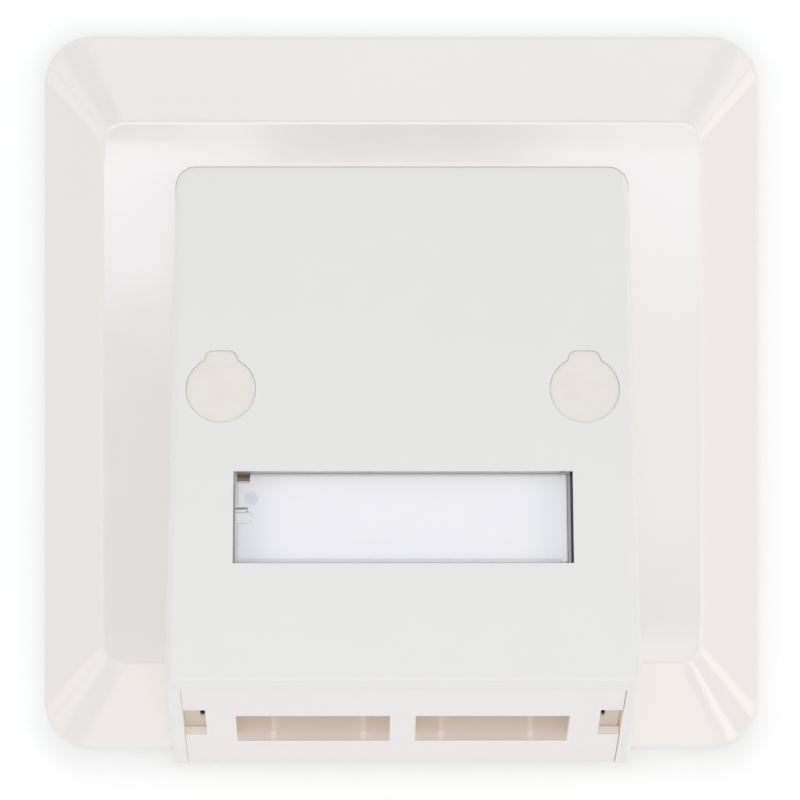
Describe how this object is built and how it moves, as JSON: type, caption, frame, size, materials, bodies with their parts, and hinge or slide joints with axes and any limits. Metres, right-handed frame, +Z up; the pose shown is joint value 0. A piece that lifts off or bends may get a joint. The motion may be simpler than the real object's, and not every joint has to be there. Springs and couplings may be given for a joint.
{
  "type": "fibre optic wall outlet",
  "caption": "Square bevelled wall outlet with a wedge hood, a label window, screw caps and a slanted lower panel with empty connector ports for fibre patch leads.",
  "frame": {"origin": "centre of the square frame on the wall plane, midway between the two box screws", "axes": "+X to the right seen from the front, +Y into the wall, +Z up"},
  "size_m": [0.08, 0.0268, 0.0815],
  "materials": {
    "frame_gloss_white": "glossy moulded white plastic",
    "hood_satin_white": "satin moulded white plastic",
    "panel_satin_white": "satin moulded white plastic",
    "cap_cream": "smooth cream plastic",
    "window_clear": "clear polished plastic",
    "label_paper": "uncoated white paper card",
    "base_white": "plain moulded white plastic",
    "holder_grey": "soft grey rubber",
    "screw_zinc": "zinc plated steel"
  },
  "bodies": {
    "outlet": {"frame": "frame_gloss_white", "hood": "hood_satin_white", "port_panel": "panel_satin_white", "label_card": "label_paper", "base": "base_white", "splice_holder": "holder_grey", "cable_clamp": "base_white", "cover_screw_left": "screw_zinc", "cover_screw_right": "screw_zinc", "clamp_screw_left": "screw_zinc", "clamp_screw_right": "screw_zinc"},
    "screw_cap_left": {"screw_cap_left": "cap_cream"},
    "screw_cap_right": {"screw_cap_right": "cap_cream"},
    "label_window": {"label_window": "window_clear"}
  },
  "joints": [
    {"name": "cap_left_pull", "type": "slide", "parent": "outlet", "child": "screw_cap_left", "axis": [0, -0.9494, 0.3142], "range_m": [0, 0.008]},
    {"name": "cap_right_pull", "type": "slide", "parent": "outlet", "child": "screw_cap_right", "axis": [0, -0.9494, 0.3142], "range_m": [0, 0.008]},
    {"name": "window_swing", "type": "hinge", "parent": "outlet", "child": "label_window", "pos_m": [0.0173, -0.02064, -0.01357], "axis": [0, 0.3142, 0.9494], "range_deg": [0, 75]}
  ]
}
